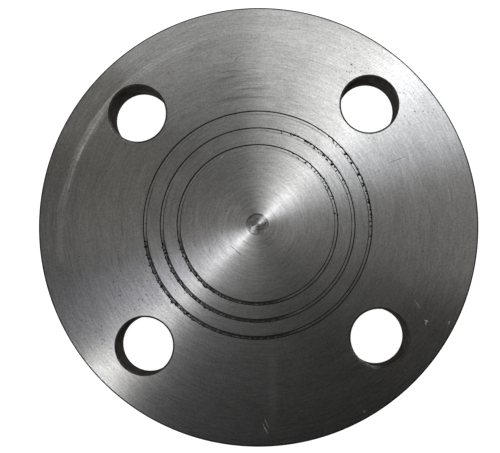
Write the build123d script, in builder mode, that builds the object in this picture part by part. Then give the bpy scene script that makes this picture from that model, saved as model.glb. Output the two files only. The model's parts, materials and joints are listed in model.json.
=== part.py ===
from build123d import *

import os
from math import radians, tan

# Blind flange: a flat-faced round plate of turned steel that closes the end of a pipe.
# The plate lies on its back face. The origin is the centre of that face and +Z leaves through
# the sealing face, so the bolt holes stand upright and straddle the X and Y axes.
# All sizes are in millimetres.

# Plate
outer_diameter = 140.0
thickness = 16.0
rim_chamfer = 0.5

# Bolt holes, on a circle that leaves a wall of steel between them and the rim
bolt_hole_count = 4
bolt_hole_diameter = 18.0
bolt_hole_edge_break = 0.45
first_hole_angle = 45.0
rim_wall = 8.5
bolt_circle_diameter = outer_diameter - bolt_hole_diameter - 2 * rim_wall

# Gasket grooves, inside the bolt holes with a plain land between: shallow, with a flat floor
groove_count = 3
groove_pitch = 5.4
groove_width = 1.25
groove_depth = 0.25
groove_wall_angle = 45.0
bolt_hole_land = 6.95
outer_groove_diameter = bolt_circle_diameter - bolt_hole_diameter - 2 * bolt_hole_land

# Centre mark, where the facing tool ended: a shallow dish with a small pip left in its middle
dish_diameter = 7.2
dish_depth = 0.3
dish_wall_angle = 30.0
pip_base_diameter = 1.8
pip_top_diameter = 0.8
pip_height = 0.2

# What follows from the sizes above
bolt_circle_radius = bolt_circle_diameter / 2
groove_lip_radii = [outer_groove_diameter / 2 - i * groove_pitch for i in range(groove_count)]
groove_wall_run = groove_depth / tan(radians(groove_wall_angle))
groove_floor_level = thickness - groove_depth
dish_floor_radius = dish_diameter / 2 - dish_depth / tan(radians(dish_wall_angle))
dish_floor_level = thickness - dish_depth
pip_level = dish_floor_level + pip_height


with BuildPart() as blind_flange:
    # The turned blank, with both rims chamfered
    Cylinder(
        outer_diameter / 2,
        thickness,
        align=(Align.CENTER, Align.CENTER, Align.MIN),
    )
    chamfer(blind_flange.edges().filter_by(GeomType.CIRCLE), length=rim_chamfer)

    # The bolt holes, drilled right through, with their edges broken on both faces
    with PolarLocations(bolt_circle_radius, bolt_hole_count, start_angle=first_hole_angle):
        Hole(bolt_hole_diameter / 2)
    chamfer(
        blind_flange.edges(Select.LAST).filter_by(GeomType.CIRCLE),
        length=bolt_hole_edge_break,
    )

    # The gasket grooves: a section for each, spun about the flange's axis
    with BuildSketch(Plane.XZ):
        for lip_radius in groove_lip_radii:
            inner_lip_radius = lip_radius - groove_width
            with BuildLine():
                Polyline(
                    (lip_radius, thickness),
                    (lip_radius - groove_wall_run, groove_floor_level),
                    (inner_lip_radius + groove_wall_run, groove_floor_level),
                    (inner_lip_radius, thickness),
                    close=True,
                )
            make_face()
    revolve(axis=Axis.Z, mode=Mode.SUBTRACT)

    # The centre mark: half the section of the cut, which leaves the pip standing on the axis
    with BuildSketch(Plane.XZ):
        with BuildLine():
            Polyline(
                (0, thickness),
                (dish_diameter / 2, thickness),
                (dish_floor_radius, dish_floor_level),
                (pip_base_diameter / 2, dish_floor_level),
                (pip_top_diameter / 2, pip_level),
                (0, pip_level),
                close=True,
            )
        make_face()
    revolve(axis=Axis.Z, mode=Mode.SUBTRACT)

blind_flange.part.label = "blind_flange"

os.makedirs("parts", exist_ok=True)
export_step(blind_flange.part, "parts/blind_flange.step")
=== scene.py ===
import json
from collections import namedtuple
from math import atan2, cos, pi, radians, sin, tan

import bpy
from mathutils import Euler, Matrix, Vector


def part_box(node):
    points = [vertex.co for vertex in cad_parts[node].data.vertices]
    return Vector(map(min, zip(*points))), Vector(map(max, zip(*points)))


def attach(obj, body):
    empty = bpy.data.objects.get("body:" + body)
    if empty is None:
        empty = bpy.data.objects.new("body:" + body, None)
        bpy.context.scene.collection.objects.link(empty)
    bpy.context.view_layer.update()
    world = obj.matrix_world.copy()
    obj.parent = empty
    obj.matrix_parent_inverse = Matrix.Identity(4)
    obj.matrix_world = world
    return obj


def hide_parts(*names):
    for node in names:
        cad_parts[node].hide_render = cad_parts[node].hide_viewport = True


# Blind flange, dressed as the used steel plate that it is. A Geometry Nodes tree turns the plate
# on a lathe, tears the lips of its gasket grooves and drills its bolt holes, and node materials
# give the turned and the drilled steel their finish. Blender works in metres.

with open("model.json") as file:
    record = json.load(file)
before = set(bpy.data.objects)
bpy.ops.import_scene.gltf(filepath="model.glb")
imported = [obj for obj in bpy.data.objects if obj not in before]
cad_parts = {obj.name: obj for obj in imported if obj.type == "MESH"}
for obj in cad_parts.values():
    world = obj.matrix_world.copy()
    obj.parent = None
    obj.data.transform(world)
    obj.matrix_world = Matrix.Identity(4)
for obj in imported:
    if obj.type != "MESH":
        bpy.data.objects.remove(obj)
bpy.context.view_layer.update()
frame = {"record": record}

MM = 0.001

# Sizes that the CAD model gives
NODE = "blind_flange"
_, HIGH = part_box(NODE)
RIM_RADIUS = HIGH.x
THICKNESS = HIGH.z
MOUNTS = frame["record"]["mounts"]
BOLTS = next(mount["dims"] for mount in MOUNTS if mount["kind"] == "bolt_pattern")
BOLT_CIRCLE_RADIUS = BOLTS["pcd_mm"] / 2 * MM
BOLT_HOLE_RADIUS = BOLTS["hole_r_mm"] * MM
BOLT_HOLE_COUNT = BOLTS["count"]
FIRST_HOLE_ANGLE = 45

# Broken edges
RIM_CHAMFER = 0.5 * MM
HOLE_CHAMFER = 0.45 * MM

# Gasket grooves: shallow, with a flat floor between two sloping walls
OUTER_GROOVE_RADIUS = 36.55 * MM
GROOVE_PITCH = 5.4 * MM
GROOVE_WIDTH = 1.25 * MM
GROOVE_DEPTH = 0.25 * MM
GROOVE_WALL_RUN = GROOVE_DEPTH / tan(radians(45))

# Centre mark: a dish with a pip left standing in it
DISH_RADIUS = 3.6 * MM
DISH_DEPTH = 0.3 * MM
DISH_WALL_RUN = DISH_DEPTH / tan(radians(30))
PIP_BASE_RADIUS = 0.9 * MM
PIP_TOP_RADIUS = 0.4 * MM
PIP_HEIGHT = 0.2 * MM

# How fine the mesh is, on the lands, on the groove floors and round the axis
LAND_STEP = 3 * MM
OUTER_LAND_STEP = 4 * MM
FLOOR_STEP = 0.19 * MM
SEGMENTS = 1080
DRILL_SEGMENTS = 128
WELD = 0.001 * MM
SHARP_ANGLE = radians(28)

# Close pairs of rings beside a groove, so that its torn lips don't bend the light on the lands
INNER_GUARDS = (0.20 * MM, 0.15 * MM)
OUTER_GUARDS = (0.50 * MM, 0.55 * MM)

# The tool tore the groove lips on two sides of the plate. On the near side every groove is worst
# in a direction of its own, from the outer groove inwards.
TORN_NEAR_ANGLES = (22, 46, 35)
TORN_FAR_ANGLE = 216
TORN_DEPTH = 0.1 * MM
TORN_GRAIN = 0.75 * MM
TORN_SEED = 0.0
NEAR_RARITY = 0.02
FAR_RARITY = 0.05


def towards(degrees):
    """The level unit vector that points this way from the plate's axis."""
    return cos(radians(degrees)), sin(radians(degrees)), 0.0


class Wires:
    """Short ways to add nodes to a tree. Most return the new node's output."""

    def __init__(self, tree):
        self.tree = tree

    def node(self, kind, inputs=(), **settings):
        """A node with its settings, and its inputs fed by name or by number."""
        made = self.tree.nodes.new(kind)
        for name, value in settings.items():
            setattr(made, name, value)
        for key, value in dict(inputs).items():
            self.feed(made.inputs[key], value)
        return made

    def feed(self, socket, value):
        if isinstance(value, bpy.types.NodeSocket):
            self.tree.links.new(value, socket)
        else:
            socket.default_value = value

    def math(self, operation, *values):
        return self.node("ShaderNodeMath", enumerate(values), operation=operation).outputs[0]

    def chain(self, operation, first, *others):
        result = first
        for value in others:
            result = self.math(operation, result, value)
        return result

    def times(self, *values):
        return self.chain("MULTIPLY", *values)

    def sum(self, *values):
        return self.chain("ADD", *values)

    def most(self, *values):
        return self.chain("MAXIMUM", *values)

    def rest(self, share):
        """What a share leaves of the whole."""
        return self.math("SUBTRACT", 1.0, share)

    def vector(self, operation, *values):
        made = self.node("ShaderNodeVectorMath", enumerate(values), operation=operation)
        single = operation in {"LENGTH", "DOT_PRODUCT", "DISTANCE"}
        return made.outputs["Value" if single else "Vector"]

    def scaled(self, vector, scale):
        inputs = {0: vector, "Scale": scale}
        return self.node("ShaderNodeVectorMath", inputs, operation="SCALE").outputs["Vector"]

    def facing(self, direction, degrees):
        """The cosine between a direction and the way towards these degrees."""
        return self.vector("DOT_PRODUCT", direction, towards(degrees))

    def ramp(self, value, start, end, low=0.0, high=1.0):
        """A smooth step from low at start to high at end."""
        inputs = {
            "Value": value,
            "From Min": start,
            "From Max": end,
            "To Min": low,
            "To Max": high,
        }
        return self.node("ShaderNodeMapRange", inputs, interpolation_type="SMOOTHSTEP").outputs[0]

    def band(self, value, middle, half_width, edge):
        """1 within half_width of the middle, which falls to 0 over the edge."""
        off = self.math("ABSOLUTE", self.math("SUBTRACT", value, middle))
        return self.ramp(off, half_width, half_width + edge, 1.0, 0.0)

    def parts(self, vector):
        split = self.node("ShaderNodeSeparateXYZ", {0: vector})
        return split.outputs["X"], split.outputs["Y"], split.outputs["Z"]

    def join(self, x=0.0, y=0.0, z=0.0):
        return self.node("ShaderNodeCombineXYZ", {0: x, 1: y, 2: z}).outputs[0]

    def noise(self, vector, scale=1.0, detail=2.0, roughness=0.5):
        """Noise about zero, mostly within 0.3 either way."""
        inputs = {"Vector": vector, "Scale": scale, "Detail": detail, "Roughness": roughness}
        made = self.node("ShaderNodeTexNoise", inputs, noise_dimensions="3D")
        return self.math("SUBTRACT", made.outputs[0], 0.5)

    def grey(self, shade, tint=(1.0, 1.0, 1.0)):
        """A colour of this shade, tinted."""
        channels = {i: self.times(shade, share) for i, share in enumerate(tint)}
        return self.node("ShaderNodeCombineColor", channels).outputs[0]

    def mix(self, share, first, second):
        made = self.node("ShaderNodeMix", {"Factor": share}, data_type="RGBA")
        self.feed(made.inputs["A"], first)
        self.feed(made.inputs["B"], second)
        return made.outputs["Result"]


def new_object(name, mesh):
    made = bpy.data.objects.new(name, mesh)
    bpy.context.scene.collection.objects.link(made)
    return made


# Camera

# How the plate lies in the picture: its turns in degrees, and the centre of its face in mm
VIEW_TILT = -3.434
VIEW_SWING = -1.574
VIEW_ROLL = 2.054
FACE_CENTRE_IN_VIEW = (2.34, 0.64, -330.2)
SENSOR_WIDTH = 36.0
LENS = 74.77


def camera():
    """Looks down on the plate from where the photograph was taken."""
    tilt = Matrix.Rotation(radians(VIEW_TILT), 3, "X")
    swing = Matrix.Rotation(radians(VIEW_SWING), 3, "Y")
    roll = Matrix.Rotation(radians(VIEW_ROLL), 3, "Z")
    plate_to_view = tilt @ swing @ roll
    turn = plate_to_view.transposed()
    place = Vector((0, 0, THICKNESS)) - turn @ (Vector(FACE_CENTRE_IN_VIEW) * MM)
    data = bpy.data.cameras.new("camera")
    data.sensor_width = SENSOR_WIDTH
    data.lens = LENS
    data.clip_start = 0.01
    made = new_object("camera", data)
    made.matrix_world = Matrix.Translation(place) @ turn.to_4x4()
    bpy.context.scene.camera = made


# Shape

# One ring that the lathe turns. The last three say how much it may tear on the near and on the
# far side, and the direction in which the near side is worst.
Ring = namedtuple("Ring", "radius height torn_near torn_far worst", defaults=(0.0, 0.0, 0.0))
RING_NOTES = ("torn_near", "torn_far", "worst")


def spaced(start, end, pitch):
    """Radii from start up to end, not included, about a pitch apart."""
    steps = max(1, round((end - start) / pitch))
    return [start + (end - start) * i / steps for i in range(steps)]


def centre_mark_rings():
    floor = THICKNESS - DISH_DEPTH
    floor_radius = DISH_RADIUS - DISH_WALL_RUN
    return [
        Ring(0.0, floor + PIP_HEIGHT),
        Ring(PIP_TOP_RADIUS, floor + PIP_HEIGHT),
        Ring(PIP_BASE_RADIUS, floor),
        Ring((PIP_BASE_RADIUS + floor_radius) / 2, floor),
        Ring(floor_radius, floor),
        Ring(DISH_RADIUS - DISH_WALL_RUN / 2, THICKNESS - DISH_DEPTH / 2),
    ]


def groove_rings(lip_radius, worst):
    """Rings across one groove, from the land inside it to the land outside it."""
    inner_lip_radius = lip_radius - GROOVE_WIDTH
    inner_root_radius = inner_lip_radius + GROOVE_WALL_RUN
    root_radius = lip_radius - GROOVE_WALL_RUN
    floor = THICKNESS - GROOVE_DEPTH
    half_way = THICKNESS - GROOVE_DEPTH / 2
    floor_radii = spaced(inner_root_radius, root_radius, FLOOR_STEP)
    rings = [Ring(inner_lip_radius - guard, THICKNESS) for guard in INNER_GUARDS]
    rings += [
        Ring(inner_lip_radius, THICKNESS, 0.2, 0.4),
        Ring(inner_lip_radius + GROOVE_WALL_RUN / 2, half_way, 0.4, 0.8),
    ]
    for i, radius in enumerate(floor_radii):
        rings.append(Ring(radius, floor, 0.5 + 0.5 * i / len(floor_radii), 1.0))
    rings += [
        Ring(root_radius, floor, 1.0, 1.0),
        Ring(lip_radius - GROOVE_WALL_RUN / 2, half_way, 1.0, 1.0),
        Ring(lip_radius, THICKNESS, 0.5, 0.9),
        Ring(lip_radius + 0.15 * MM, THICKNESS, 0.1, 0.7),
        Ring(lip_radius + 0.35 * MM, THICKNESS, 0.0, 0.3),
    ]
    rings += [Ring(lip_radius + guard, THICKNESS) for guard in OUTER_GUARDS]
    return [ring._replace(worst=radians(worst)) for ring in rings]


def plate_rings():
    """The half section of the plate: from the middle of the face, round the rim, to the back."""
    rings = centre_mark_rings()
    start = DISH_RADIUS
    for i, worst in reversed(list(enumerate(TORN_NEAR_ANGLES))):
        groove = groove_rings(OUTER_GROOVE_RADIUS - i * GROOVE_PITCH, worst)
        land_radii = spaced(start, groove[0].radius, LAND_STEP)
        rings += [Ring(radius, THICKNESS) for radius in land_radii]
        rings += groove
        start = groove[-1].radius + 0.5 * MM
    face_edge = RIM_RADIUS - RIM_CHAMFER
    rings += [Ring(radius, THICKNESS) for radius in spaced(start, face_edge, OUTER_LAND_STEP)]
    rings += [
        Ring(face_edge, THICKNESS),
        Ring(RIM_RADIUS, THICKNESS - RIM_CHAMFER),
        Ring(RIM_RADIUS, THICKNESS * 2 / 3),
        Ring(RIM_RADIUS, THICKNESS / 3),
        Ring(RIM_RADIUS, RIM_CHAMFER),
        Ring(face_edge, 0.0),
        Ring(face_edge / 2, 0.0),
        Ring(0.0, 0.0),
    ]
    return rings


def drill_rings():
    """The half section of a drill that also breaks the hole's edges on both faces."""
    beyond = 1 * MM
    wide = BOLT_HOLE_RADIUS + HOLE_CHAMFER + beyond
    return [
        Ring(0.0, THICKNESS + beyond),
        Ring(wide, THICKNESS + beyond),
        Ring(BOLT_HOLE_RADIUS, THICKNESS - HOLE_CHAMFER),
        Ring(BOLT_HOLE_RADIUS, HOLE_CHAMFER),
        Ring(wide, -beyond),
        Ring(0.0, -beyond),
    ]


def section_object(name, rings):
    """A row of points, one for each ring that the lathe turns."""
    mesh = bpy.data.meshes.new(name)
    mesh.from_pydata([(ring.radius, 0.0, ring.height) for ring in rings], [], [])
    for note in RING_NOTES:
        values = mesh.attributes.new(note, "FLOAT", "POINT")
        values.data.foreach_set("value", [getattr(ring, note) for ring in rings])
    return new_object(name, mesh)


def tree_with_inputs(name, inputs, output):
    """A new Geometry Nodes tree with named inputs, and its inputs as they are used inside."""
    tree = bpy.data.node_groups.new(name, "GeometryNodeTree")
    for socket, kind in inputs.items():
        tree.interface.new_socket(socket, in_out="INPUT", socket_type="NodeSocket" + kind)
    tree.interface.new_socket(output, in_out="OUTPUT", socket_type="NodeSocketGeometry")
    w = Wires(tree)
    return tree, w, w.node("NodeGroupInput").outputs


def named(w, attribute):
    inputs = {"Name": attribute}
    return w.node("GeometryNodeInputNamedAttribute", inputs, data_type="FLOAT").outputs[0]


def stored(w, geometry, attribute, value):
    inputs = {"Geometry": geometry, "Name": attribute, "Value": value}
    return w.node("GeometryNodeStoreNamedAttribute", inputs, data_type="FLOAT").outputs[0]


def lathe_tree():
    """Turns a section, given as a row of points, into a closed body about the Z axis."""
    inputs = {"Section": "Object", "Segments": "Int", "Weld": "Float"}
    tree, w, given = tree_with_inputs("lathe", inputs, "Body")
    section = w.node("GeometryNodeObjectInfo", {"Object": given["Section"]}).outputs["Geometry"]
    size = w.node("GeometryNodeAttributeDomainSize", {0: section}, component="MESH")
    columns = w.math("ADD", given["Segments"], 1)
    counts = {"Vertices X": size.outputs[0], "Vertices Y": columns}
    sheet = w.node("GeometryNodeMeshGrid", counts)

    # Each row of the sheet is a ring, and each column is a step of the lathe
    index = w.node("GeometryNodeInputIndex").outputs[0]
    ring = w.math("FLOOR", w.math("DIVIDE", w.math("ADD", index, 0.5), columns))
    step = w.math("SUBTRACT", index, w.times(ring, columns))
    angle = w.math("DIVIDE", w.times(step, 2 * pi), given["Segments"])

    def of_ring(value, kind):
        inputs = {"Geometry": section, "Value": value, "Index": ring}
        return w.node("GeometryNodeSampleIndex", inputs, data_type=kind).outputs[0]

    body = sheet.outputs["Mesh"]
    for note in RING_NOTES:
        body = stored(w, body, note, of_ring(named(w, note), "FLOAT"))
    point = w.node("GeometryNodeInputPosition").outputs[0]
    radius, _, height = w.parts(of_ring(point, "FLOAT_VECTOR"))
    x = w.times(radius, w.math("COSINE", angle))
    y = w.times(radius, w.math("SINE", angle))
    place = {"Geometry": body, "Position": w.join(x, y, height)}
    turned = w.node("GeometryNodeSetPosition", place).outputs[0]
    closing = {"Geometry": turned, "Distance": given["Weld"]}
    w.node("NodeGroupOutput", {0: w.node("GeometryNodeMergeByDistance", closing).outputs[0]})
    return tree


def torn_share(w, given):
    """How torn the steel is at a point: 1 in the middle of a bite."""
    place = w.node("GeometryNodeInputPosition").outputs[0]
    x, y, _ = w.parts(place)
    outwards = w.vector("NORMALIZE", w.join(x, y, 0.0))
    seeded = w.vector("ADD", place, w.join(given["Torn Seed"]))
    grain = w.noise(seeded, given["Torn Grain"], 3.0, 0.6)
    worst = named(w, "worst")
    worst_direction = w.join(w.math("COSINE", worst), w.math("SINE", worst), 0.0)

    def bites(facing, may_tear, start, full, rarity):
        """Bites where the grain is above the rarity, which grows away from the worst direction."""
        scarce = w.ramp(facing, start, full, w.math("ADD", rarity, 0.3), rarity)
        scarce = w.math("ADD", scarce, w.times(w.rest(may_tear), 0.15))
        bitten = w.ramp(w.math("SUBTRACT", grain, scarce), 0.0, 0.06)
        return w.times(bitten, w.ramp(may_tear, 0.0, 0.3))

    near = w.vector("DOT_PRODUCT", outwards, worst_direction)
    far = w.facing(outwards, TORN_FAR_ANGLE)
    near_bites = bites(near, named(w, "torn_near"), 0.55, 0.995, given["Near Rarity"])
    far_bites = bites(far, named(w, "torn_far"), 0.6, 0.95, given["Far Rarity"])
    return w.most(near_bites, far_bites)


def flange_tree(lathe):
    """Turns the plate, tears its groove lips and drills it."""
    inputs = {
        "Plate Section": "Object",
        "Drill Section": "Object",
        "Segments": "Int",
        "Drill Segments": "Int",
        "Bolt Hole Count": "Int",
        "Weld": "Float",
        "Bolt Circle Radius": "Float",
        "First Hole Angle": "Float",
        "Torn Depth": "Float",
        "Torn Grain": "Float",
        "Torn Seed": "Float",
        "Near Rarity": "Float",
        "Far Rarity": "Float",
        "Turned Steel": "Material",
        "Drilled Steel": "Material",
    }
    tree, w, given = tree_with_inputs("flange", inputs, "Flange")
    tree.is_modifier = True

    def turned(section, segments):
        inputs = {"Section": given[section], "Segments": given[segments], "Weld": given["Weld"]}
        made = w.node("GeometryNodeGroup", node_tree=lathe)
        for name, value in inputs.items():
            w.feed(made.inputs[name], value)
        return made.outputs[0]

    def finished(geometry, material, selection=True):
        inputs = {"Geometry": geometry, "Selection": selection, "Material": given[material]}
        return w.node("GeometryNodeSetMaterial", inputs).outputs[0]

    # The lips are torn downwards, never above the sealing face
    torn = torn_share(w, given)
    plate = stored(w, turned("Plate Section", "Segments"), "torn", torn)
    sunk = w.join(z=w.times(torn, given["Torn Depth"], -1.0))
    plate = w.node("GeometryNodeSetPosition", {"Geometry": plate, "Offset": sunk}).outputs[0]

    # A drill for each bolt hole
    drill = finished(turned("Drill Section", "Drill Segments"), "Drilled Steel")
    circle = {"Vertices": given["Bolt Hole Count"], "Radius": given["Bolt Circle Radius"]}
    turn = {
        "Geometry": w.node("GeometryNodeMeshCircle", circle).outputs[0],
        "Rotation": w.join(z=given["First Hole Angle"]),
    }
    places = w.node("GeometryNodeTransform", turn).outputs[0]
    copies = {"Points": places, "Instance": drill}
    drills = w.node("GeometryNodeInstanceOnPoints", copies).outputs[0]
    all_drills = w.node("GeometryNodeRealizeInstances", {0: drills}).outputs[0]
    drilled = w.node("GeometryNodeMeshBoolean", operation="DIFFERENCE", solver="EXACT")
    w.feed(drilled.inputs["Mesh 1"], finished(plate, "Turned Steel"))
    w.feed(drilled.inputs["Mesh 2"], all_drills)

    whole = w.node("GeometryNodeRealizeInstances", {0: drilled.outputs["Mesh"]}).outputs[0]
    in_hole = w.node("GeometryNodeMaterialSelection", {0: given["Drilled Steel"]}).outputs[0]
    elsewhere = w.node("FunctionNodeBooleanMath", {0: in_hole}, operation="NOT").outputs[0]
    w.node("NodeGroupOutput", {0: finished(whole, "Turned Steel", elsewhere)})
    return tree


def flange(turned_steel, drilled_steel):
    """The flange as one plain mesh."""
    plate_section = section_object("plate_section", plate_rings())
    drill_section = section_object("drill_section", drill_rings())
    tree = flange_tree(lathe_tree())
    values = {
        "Plate Section": plate_section,
        "Drill Section": drill_section,
        "Segments": SEGMENTS,
        "Drill Segments": DRILL_SEGMENTS,
        "Bolt Hole Count": BOLT_HOLE_COUNT,
        "Weld": WELD,
        "Bolt Circle Radius": BOLT_CIRCLE_RADIUS,
        "First Hole Angle": radians(FIRST_HOLE_ANGLE),
        "Torn Depth": TORN_DEPTH,
        "Torn Grain": 1 / TORN_GRAIN,
        "Torn Seed": TORN_SEED,
        "Near Rarity": NEAR_RARITY,
        "Far Rarity": FAR_RARITY,
        "Turned Steel": turned_steel,
        "Drilled Steel": drilled_steel,
    }
    blank = new_object("blank", bpy.data.meshes.new("blank"))
    modifier = blank.modifiers.new("flange", "NODES")
    modifier.node_group = tree
    for socket in tree.interface.items_tree:
        if socket.in_out == "INPUT":
            modifier[socket.identifier] = values[socket.name]
    bpy.context.view_layer.update()
    evaluated = blank.evaluated_get(bpy.context.evaluated_depsgraph_get())
    mesh = bpy.data.meshes.new_from_object(evaluated)
    mesh.name = "turned_flange"
    for helper in (blank, plate_section, drill_section):
        bpy.data.objects.remove(helper)
    # The lathe's sheet leaves an empty first slot, which no face uses
    mesh.materials.pop(index=0)
    mesh.shade_smooth()
    mesh.set_sharp_from_angle(angle=SHARP_ANGLE)
    return new_object("turned_flange", mesh)


# Marks of use on the sealing face. Each is a start, an end and a width, in mm from the axis.

BRIGHT_SCRATCHES = (
    ((-41.6, -2.6), (-34.0, 0.3), 0.22),
    ((48.4, -25.4), (50.5, -28.5), 0.20),
    ((51.3, -32.0), (52.8, -32.7), 0.45),
    ((51.6, -33.8), (52.2, -32.4), 0.30),
    ((58.9, -33.7), (59.5, -32.6), 0.35),
    ((44.3, -46.9), (44.9, -48.0), 0.16),
    ((30.9, -59.4), (32.1, -61.0), 0.18),
    ((-39.0, 47.5), (-30.1, 54.3), 0.28),
    ((-26.2, 56.7), (-22.9, 58.2), 0.20),
    ((-50.5, 42.1), (-49.8, 42.8), 0.28),
    ((0.0, -61.2), (1.4, -64.4), 0.22),
    ((-0.6, -62.6), (1.0, -66.2), 0.28),
    ((-21.2, 6.5), (-20.7, 2.3), 0.12),
    ((-15.3, 24.3), (-13.5, 22.8), 0.30),
    ((-10.0, 22.5), (-11.3, 21.4), 0.38),
    ((-12.2, 36.8), (-11.1, 36.3), 0.22),
    ((0.3, 14.9), (1.2, 15.4), 0.25),
    ((4.3, 18.0), (5.2, 18.4), 0.22),
    ((-27.1, 20.7), (-23.7, 14.6), 0.08),
    ((-33.3, 24.0), (-32.0, 19.1), 0.08),
    ((59.2, 16.8), (60.5, 15.8), 0.45),
    ((36.2, -0.6), (38.9, -2.3), 0.20),
)
DARK_SCRATCHES = (
    ((41.5, 17.7), (48.6, 20.1), 0.18),
    ((38.7, 15.2), (40.0, 16.3), 0.18),
    ((51.0, 34.4), (52.0, 33.9), 0.36),
    ((57.3, 34.8), (57.5, 34.0), 0.26),
    ((31.7, 50.6), (32.3, 49.6), 0.40),
    ((30.9, 48.2), (31.5, 47.2), 0.25),
    ((37.1, 49.0), (37.6, 48.3), 0.22),
    ((-9.2, -6.3), (-7.0, -7.9), 0.26),
    ((-7.8, -7.5), (-5.2, -9.7), 0.26),
    ((-5.9, 17.7), (-4.0, 18.3), 0.16),
    ((-11.4, 49.0), (-4.2, 50.0), 0.14),
    ((-4.4, 50.0), (2.4, 50.3), 0.12),
    ((-5.6, 53.0), (-4.2, 54.0), 0.20),
    ((-3.8, 54.3), (-1.6, 55.2), 0.14),
    ((-44.8, -7.0), (-44.2, -11.0), 0.18),
    ((-42.2, -5.2), (-41.8, -9.0), 0.12),
    ((-43.9, -20.6), (-45.2, -21.0), 0.20),
    ((-38.7, -21.8), (-36.9, -22.8), 0.20),
    ((-57.0, -34.8), (-55.9, -34.0), 0.18),
    ((-50.4, -34.4), (-49.6, -35.3), 0.26),
)

# Painted reflection: a pale stripe down the face, along the streak that a light draws through its
# middle, given as the scratches are
PAINTED_REFLECTION_STRIPE = ((3.3, -36.2), (2.6, -64.4), 3.2)

# Patches of the face where rust has pitted it: the middle and the radius, in mm
PITTED_PATCHES = (
    ((-40.0, -22.0), 12.0),
    ((-55.0, -35.0), 11.0),
    ((-29.0, -22.0), 9.0),
    ((54.0, 40.0), 13.0),
    ((33.0, 50.0), 8.0),
)

# Where something has rubbed the face in short dark arcs, in mm
RUBBED_ARCS_MIDDLE = (-3.0, 44.0, 0.0)

# A washer or a hook has rubbed the face along this arc
SCUFF_ANGLE = 138
SCUFF_RADIUS = 61.4

# Where the dirt, the wear and the painted shade lie, in degrees round the axis. The main light
# comes from the top side.
TOP_SIDE_ANGLE = 60
LIT_WALL_ANGLE = 105
CAKED_AND_SHADED_ANGLE = 235
WORN_HOLE_SIDE = 230


def scratches(w, flat, marks):
    """1 on any of the marks, each of which is a long thin ellipse."""
    found = []
    for start, end, width in marks:
        along = Vector(end) - Vector(start)
        mapping = {
            "Vector": flat,
            "Location": (*(Vector(start) + along / 2), 0.0),
            "Rotation": (0.0, 0.0, atan2(along.y, along.x)),
            "Scale": (along.length / 2, width / 2, 1.0),
        }
        fitted = w.node("ShaderNodeMapping", mapping, vector_type="TEXTURE").outputs[0]
        found.append(w.ramp(w.vector("LENGTH", fitted), 0.5, 1.1, 1.0, 0.0))
    return w.most(*found)


def pits(w, flat, spacing, share, size):
    """Small round spots about a spacing apart, in a share of the places where one could be."""
    grid = {"Vector": flat, "Scale": 1 / spacing}
    cells = w.node("ShaderNodeTexVoronoi", grid, voronoi_dimensions="2D").outputs
    chance = w.node("ShaderNodeSeparateColor", {0: cells["Color"]}).outputs
    present = w.math("GREATER_THAN", share, chance[0])
    radius = w.times(w.math("ADD", chance[1], 0.4), size / spacing)
    return w.times(w.ramp(cells["Distance"], w.times(radius, 0.4), radius, 1.0, 0.0), present)


def patches(w, flat, places):
    """1 inside any of the round patches, which fade towards their edges."""
    found = []
    for middle, radius in places:
        distance = w.vector("DISTANCE", flat, (*middle, 0.0))
        found.append(w.ramp(distance, radius * 0.4, radius, 1.0, 0.0))
    return w.most(*found)


# Finish

# Bare steel, a little warm. If its roughness is under about 0.275, the tool's fine lines are lost
# when the picture's noise is cleaned.
STEEL_SHADE = 0.52
STEEL_TINT = (1.0, 0.985, 0.965)
STEEL_ROUGHNESS = 0.283
STEEL_ANISOTROPY = 0.89
# The colour of dirt, with which the shade is also painted
DIRT_AND_SHADE_COLOUR = (0.016, 0.014, 0.011, 1.0)

# Drilled steel under cutting oil, and where it is worn bare
OIL_SHADE = 0.045
OIL_TINT = (1.0, 0.93, 0.82)
WORN_EDGE_COLOUR = (0.50, 0.49, 0.47, 1.0)

# The ring of the face that the grooves take up, in mm: its middle, its half width and its edge
GROOVED_RING = (30.7, 6.6, 0.3)


def new_material(name):
    material = bpy.data.materials.new(name)
    material.use_nodes = True
    material.node_tree.nodes.clear()
    return material, Wires(material.node_tree)


def finish_with(w, shader_inputs):
    shader = w.node("ShaderNodeBsdfPrincipled", shader_inputs)
    w.node("ShaderNodeOutputMaterial", {"Surface": shader.outputs[0]})


def bumped(w, height):
    """The surface's normal, with bumps whose height is in mm."""
    return w.node("ShaderNodeBump", {"Height": height, "Distance": MM, "Strength": 1.0}).outputs[0]


class Face:
    """Where a point lies on the plate, in mm, which way it faces and how grainy it is there."""

    def __init__(self, w):
        coordinates = w.node("ShaderNodeTexCoord").outputs
        self.normal = coordinates["Normal"]
        self.place = w.scaled(coordinates["Object"], 1 / MM)
        self.x, self.y, self.z = w.parts(self.place)
        self.flat = w.join(self.x, self.y, 0.0)
        self.radius = w.vector("LENGTH", self.flat)
        self.outwards = w.vector("NORMALIZE", self.flat)
        self.depth = w.math("SUBTRACT", THICKNESS / MM, self.z)
        self.on_face = w.ramp(self.depth, 0.60, 0.55)
        self.top_side = w.facing(self.outwards, TOP_SIDE_ANGLE)
        self.grain = w.noise(self.place, 1.8, 2.0)
        self.in_centre_mark = w.ramp(w.sum(self.radius, w.times(self.grain, 1.2)), 3.9, 3.4)
        self.in_grooves = w.band(self.radius, *GROOVED_RING)
        # How far the point is inwards from a groove's outer lip
        from_outer_lip = w.math("SUBTRACT", OUTER_GROOVE_RADIUS / MM, self.radius)
        self.inwards = w.math("FLOORED_MODULO", from_outer_lip, GROOVE_PITCH / MM)


def tool_lines(w, face, per_mm, length, detail):
    """Lines that the tool left round the axis, on the faces and on the rim."""
    across = w.times(w.math("ADD", face.radius, face.z), per_mm)
    spread = w.join(across, w.times(face.x, 1 / length), w.times(face.y, 1 / length))
    return w.noise(spread, 1.0, detail)


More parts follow.
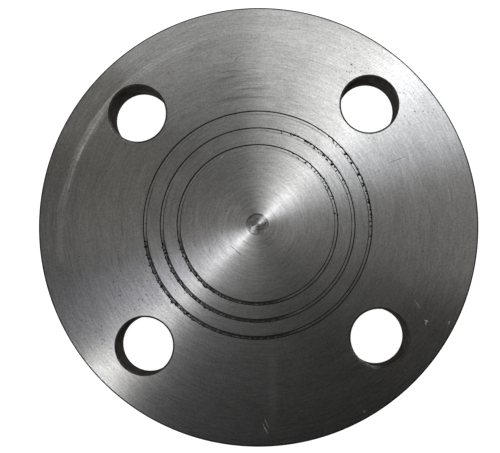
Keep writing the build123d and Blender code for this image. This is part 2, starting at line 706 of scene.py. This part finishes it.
def from_bolt_hole(w, flat):
    """How far a point is beyond the nearest bolt hole's edge, in mm, and in which direction."""
    x, y, _ = w.parts(flat)
    hole_x = w.times(w.math("SIGN", x), cos(pi / 4) * BOLT_CIRCLE_RADIUS / MM)
    hole_y = w.times(w.math("SIGN", y), sin(pi / 4) * BOLT_CIRCLE_RADIUS / MM)
    away = w.join(w.math("SUBTRACT", x, hole_x), w.math("SUBTRACT", y, hole_y))
    edge = (BOLT_HOLE_RADIUS + HOLE_CHAMFER) / MM
    return w.math("SUBTRACT", w.vector("LENGTH", away), edge), w.vector("NORMALIZE", away)


def worn_hole_edge(w, flat, grain):
    """1 where bolt heads have worn the edges of the holes, on their lower left."""
    beyond, direction = from_bolt_hole(w, flat)
    x, y, _ = w.parts(flat)
    side = w.facing(direction, WORN_HOLE_SIDE)
    often_worn = w.sum(0.15, w.times(w.math("LESS_THAN", w.times(x, y), 0.0), 0.7))
    streaks = w.ramp(w.math("ADD", grain, w.noise(w.join(beyond), 5.0)), -0.10, 0.20)
    return w.times(w.ramp(beyond, 0.7, 0.1), w.ramp(side, 0.72, 0.95), often_worn, streaks)


def lit_inner_walls(w, face):
    """How far the inner groove walls that face the plate's top, towards the light, are left out of
    the painted shade, most on its top side.
    """
    faces_top = w.ramp(w.facing(face.normal, LIT_WALL_ANGLE), 0.1, 0.4)
    faces_out = w.ramp(w.vector("DOT_PRODUCT", face.normal, face.outwards), 0.1, 0.4)
    inner_share = w.times(faces_out, w.ramp(face.top_side, 0.2, 0.7, 0.20, 1.0))
    return w.times(face.in_grooves, faces_top, inner_share)


def slope_dirt_and_shade(w, face, lit_walls):
    """Dirt and painted shade on the slopes of the face: groove walls, torn lips, centre mark and
    broken edges. Every slope is painted dark, except the inner walls that face the light.
    """
    _, _, normal_up = w.parts(face.normal)
    steep = w.times(w.ramp(normal_up, 0.998, 0.97), w.rest(lit_walls))
    beyond_centre_mark = w.ramp(face.radius, 6.0, 7.0)
    thin = w.sum(0.45, w.times(face.grain, 1.2))
    return w.times(steep, w.most(beyond_centre_mark, thin))


def lip_dirt_and_shade(w, face):
    """Dark lines on the lips of the grooves: dirt and painted shade on the outer lips, and painted
    shade on the inner ones away from the top, where they face away from the light.
    """
    outer_share = w.sum(0.85, w.times(face.top_side, 0.15))
    inner_share = w.ramp(face.top_side, 0.0, -0.6, 0.0, 0.6)
    outer_line = w.times(w.band(face.inwards, 0.16, 0.15, 0.08), outer_share)
    inner_line = w.times(w.band(face.inwards, 1.12, 0.09, 0.08), inner_share)
    return w.times(face.in_grooves, w.most(outer_line, inner_line))


def caked_dirt_and_shade(w, face):
    """Dirt caked over the floors of the grooves, with painted shade, on the side of the plate away
    from the light, with a ragged edge.
    """
    below_face = w.ramp(face.depth, 0.02, 0.08)
    caked_side = w.ramp(w.facing(face.outwards, CAKED_AND_SHADED_ANGLE), 0.50, 0.77)
    ragged = w.math("ADD", face.inwards, w.times(w.noise(face.place, 1.2, 3.0), 1.6))
    thick = w.sum(0.87, w.times(face.grain, 0.4))
    return w.times(face.in_grooves, below_face, caked_side, w.ramp(ragged, 0.25, 0.45), thick)


def lighter_groove_floors(w, face, caked_and_shade):
    """1 on the floors of the grooves away from the plate's top, outside the caked band, where the
    steel is a little lighter.
    """
    floor = w.ramp(face.depth, 0.21, 0.24)
    return w.times(face.in_grooves, floor, w.ramp(face.top_side, 0.2, -0.4), w.rest(caked_and_shade))


def dirt_and_shade_on_face(w, face, lit_walls, caked_and_shade):
    # Dirt, with painted shade on the slopes, on the groove lips and over the grooves on the side
    # away from the light
    torn = w.node("ShaderNodeAttribute", attribute_name="torn").outputs["Fac"]
    swirl_lines = tool_lines(w, face, 2.5, 2.0, 2.0)
    swirl = w.sum(0.46, w.times(swirl_lines, 1.2), w.times(face.grain, 1.4))
    beyond_hole, _ = from_bolt_hole(w, face.flat)
    pitted = w.times(patches(w, face.flat, PITTED_PATCHES), 0.45)
    rubbed_arcs = w.times(
        w.ramp(w.vector("DISTANCE", face.flat, RUBBED_ARCS_MIDDLE), 11.0, 5.0),
        w.ramp(tool_lines(w, face, 1.2, 18.0, 2.0), 0.0, 0.15),
    )
    dirt_and_shade = w.most(
        w.ramp(torn, 0.0, 0.15),
        w.times(slope_dirt_and_shade(w, face, lit_walls), 0.98),
        lip_dirt_and_shade(w, face),
        caked_and_shade,
        w.times(face.in_centre_mark, swirl),
        w.times(w.ramp(beyond_hole, 0.16, 0.08), 0.95),
        w.times(pits(w, face.flat, 1.5, pitted, 0.20), 0.80),
        w.times(pits(w, face.flat, 2.6, 0.06, 0.20), 0.60),
        w.times(rubbed_arcs, 0.30),
        w.times(scratches(w, face.flat, DARK_SCRATCHES), 0.85),
    )
    return w.times(dirt_and_shade, face.on_face)


def scuffed_arc(w, face):
    """The arc that a washer or a hook has rubbed, in streaks and with breaks."""
    along = w.facing(face.outwards, SCUFF_ANGLE)
    arc_radius = w.math("ADD", SCUFF_RADIUS, w.times(w.rest(along), 7.0))
    streaks = w.sum(0.30, w.ramp(tool_lines(w, face, 1.9, 30.0, 1.0), -0.02, 0.14, 0.0, 0.70))
    patchy = w.math("ADD", w.noise(face.place, 0.30, 2.0), face.grain)
    breaks = w.sum(0.45, w.ramp(patchy, -0.15, 0.25, 0.0, 0.55))
    arc = w.times(w.band(face.radius, arc_radius, 0.5, 1.3), w.ramp(along, 0.55, 0.70))
    return w.times(arc, w.ramp(along, 0.80, 0.98, 0.45, 1.0), streaks, breaks)


def scuffs_and_painted_streak_on_face(w, face):
    broken = w.ramp(face.grain, -0.2, 0.05)
    scuffs_and_painted_streak = w.most(
        w.times(scuffed_arc(w, face), 0.75),
        w.times(pits(w, face.flat, 2.1, 0.05, 0.14), 0.25),
        w.times(scratches(w, face.flat, BRIGHT_SCRATCHES), broken, 0.85),
        w.times(worn_hole_edge(w, face.flat, face.grain), 0.5),
        # Painted reflection: the faint pale stripe of a light's streak
        w.times(scratches(w, face.flat, (PAINTED_REFLECTION_STRIPE,)), 0.045),
    )
    return w.times(scuffs_and_painted_streak, face.on_face)


def across_tool_lines(w, face):
    """The shading's tangent. The light spreads across the tool's lines, so it lies across them."""
    along = w.vector("CROSS_PRODUCT", (0.0, 0.0, 1.0), face.outwards)
    across = w.vector("CROSS_PRODUCT", face.normal, along)
    to_world = {"vector_type": "VECTOR", "convert_from": "OBJECT", "convert_to": "WORLD"}
    return w.node("ShaderNodeVectorTransform", {0: across}, **to_world).outputs[0]


def turned_steel_material():
    """Bare steel with the tool's lines round it, stains, scuffs, dirt and painted shade in its
    grooves, a painted highlight in its middle and a painted reflection stripe.
    """
    material, w = new_material("bare_turned_steel")
    face = Face(w)
    lit_walls = lit_inner_walls(w, face)
    caked_and_shade = caked_dirt_and_shade(w, face)
    dirt_and_shade = dirt_and_shade_on_face(w, face, lit_walls, caked_and_shade)
    scuffs_and_painted_streak = scuffs_and_painted_streak_on_face(w, face)

    fine_lines = tool_lines(w, face, 2.7, 8.0, 2.0)
    feed_lines = w.times(tool_lines(w, face, 1.35, 7.0, 1.0), w.ramp(face.radius, 26.0, 6.0))
    shade = w.sum(
        STEEL_SHADE,
        # Painted highlight: the middle of the face is painted lighter, to brighten the light's
        # streaks there
        w.times(w.ramp(face.radius, 24.0, 8.0), 0.13),
        w.times(fine_lines, 0.24),
        w.times(feed_lines, 0.36),
        w.times(tool_lines(w, face, 0.3, 30.0, 2.0), 0.14),
        w.times(tool_lines(w, face, 2.4, 3.5, 1.0), 0.26),
        w.times(face.grain, 0.42),
        w.times(w.noise(face.place, 0.07, 3.0), 0.12),
        w.times(scuffs_and_painted_streak, 0.30),
        w.times(lighter_groove_floors(w, face, caked_and_shade), 0.05),
    )
    roughness = w.sum(
        STEEL_ROUGHNESS,
        w.times(w.ramp(face.radius, 18.0, 4.0), 0.04),
        w.times(face.grain, 0.02),
        w.times(face.in_centre_mark, 0.20),
        w.times(scuffs_and_painted_streak, 0.20),
        w.times(lit_walls, 0.15),
        w.times(w.ramp(dirt_and_shade, 0.75, 1.0), 0.45),
    )
    # Thick dirt, painted shade and scuffs are less like metal, and scatter some light every way
    metallic = w.sum(w.ramp(dirt_and_shade, 0.85, 1.0, 1.0, 0.8), w.times(scuffs_and_painted_streak, -0.26))
    height = w.sum(w.times(fine_lines, 0.001), w.times(feed_lines, 0.004))
    finish_with(w, {
        "Base Color": w.mix(dirt_and_shade, w.grey(shade, STEEL_TINT), DIRT_AND_SHADE_COLOUR),
        "Metallic": metallic,
        "Roughness": roughness,
        "Specular IOR Level": 0.1,
        "Anisotropic": STEEL_ANISOTROPY,
        "Tangent": across_tool_lines(w, face),
        "Normal": bumped(w, height),
    })
    return material


def drilled_steel_material():
    """The walls of the bolt holes: black with cutting oil, and worn bright along one edge."""
    material, w = new_material("oily_drilled_steel")
    place = w.scaled(w.node("ShaderNodeTexCoord").outputs["Object"], 1 / MM)
    x, y, z = w.parts(place)
    depth = w.math("SUBTRACT", THICKNESS / MM, z)
    drill_marks = w.noise(w.join(z=z), 3.0)
    stains = w.noise(place, 0.6, 3.0)
    grain = w.noise(place, 2.2, 2.0, 0.7)
    worn = w.times(w.ramp(depth, 1.1, 0.3), worn_hole_edge(w, w.join(x, y), grain))
    shade = w.sum(
        OIL_SHADE,
        w.times(stains, 0.080),
        w.times(drill_marks, 0.060),
        w.times(grain, 0.060),
    )
    finish_with(w, {
        "Base Color": w.mix(worn, w.grey(shade, OIL_TINT), WORN_EDGE_COLOUR),
        "Metallic": worn,
        "Roughness": w.sum(0.6, w.times(stains, 0.3)),
        "Specular IOR Level": 0.0,
        "Normal": bumped(w, w.sum(w.times(drill_marks, 0.02), w.times(stains, 0.02))),
    })
    return material


def floor_material():
    """The glass of a light table, which glows white."""
    material, w = new_material("light_table")
    grain = w.noise(w.node("ShaderNodeTexCoord").outputs["Object"], 40.0, 4.0)
    finish_with(w, {
        "Base Color": w.grey(w.math("ADD", 0.25, w.times(grain, 0.01))),
        "Roughness": 0.8,
        "Emission Color": (1.0, 1.0, 1.0, 1.0),
        "Emission Strength": 1.0,
    })
    return material


# Studio


def floor():
    half = 1.5
    mesh = bpy.data.meshes.new("floor")
    corners = [(-half, -half, 0), (half, -half, 0), (half, half, 0), (-half, half, 0)]
    mesh.from_pydata(corners, [], [(0, 1, 2, 3)])
    mesh.materials.append(floor_material())
    new_object("floor", mesh)


# Softboxes that hang round the plate and face its middle. Each has its azimuth and its lean from
# overhead in degrees, its distance, width and length in mm, its radiance and its colour.
SOFTBOXES = {
    "overhead": (59.8, 19.1, 150, 29, 84, 1.28, (0.98, 0.99, 1.00)),
    "main": (65.6, 38.7, 150, 78, 70, 1.52, (0.98, 1.00, 1.00)),
    "upper_left": (107.5, 45.8, 162, 84, 67, 0.996, (0.99, 1.00, 0.99)),
    "upper_right": (37.1, 48.9, 450, 163, 220, 7.56, (0.92, 0.94, 1.00)),
    "lower_left_near": (201.3, 16.3, 150, 16, 16, 3.67, (0.85, 0.85, 1.00)),
    "lower_left": (218.7, 52.0, 450, 50, 60, 87.6, (0.99, 1.00, 0.98)),
    "right": (2.3, 43.8, 183, 75, 142, 0.326, (1.00, 0.99, 0.95)),
    "left": (168.7, 27.9, 150, 42, 63, 0.251, (1.00, 0.99, 0.92)),
    "far_left": (141.6, 60.0, 450, 165, 80, 8.08, (1.00, 0.99, 0.92)),
}
ROOM_LIGHT = 0.004


def softbox(name, azimuth, lean, distance, width, length, radiance, colour):
    data = bpy.data.lights.new(name, "AREA")
    data.shape = "RECTANGLE"
    data.size = width * MM
    data.size_y = length * MM
    data.color = colour
    data.energy = radiance * pi * data.size * data.size_y
    turn = Euler((radians(lean), 0, radians(azimuth + 90))).to_matrix()
    middle = Vector((0, 0, THICKNESS)) + turn @ Vector((0, 0, distance * MM))
    made = new_object(name, data)
    made.matrix_world = Matrix.Translation(middle) @ turn.to_4x4()
    made.visible_camera = False


def room():
    """A dim room, which the camera sees as plain white."""
    world = bpy.data.worlds.new("room")
    world.use_nodes = True
    world.node_tree.nodes.clear()
    w = Wires(world.node_tree)
    seen = w.node("ShaderNodeLightPath").outputs["Is Camera Ray"]
    light = {"Color": (1.0, 1.0, 1.0, 1.0), "Strength": w.math("ADD", ROOM_LIGHT, seen)}
    background = w.node("ShaderNodeBackground", light)
    w.node("ShaderNodeOutputWorld", {"Surface": background.outputs[0]})
    bpy.context.scene.world = world


camera()
turned_flange = flange(turned_steel_material(), drilled_steel_material())
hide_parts(NODE)
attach(turned_flange, "root")

floor()
room()
for name, settings in SOFTBOXES.items():
    softbox(name, *settings)
bpy.context.scene.view_settings.view_transform = "Standard"
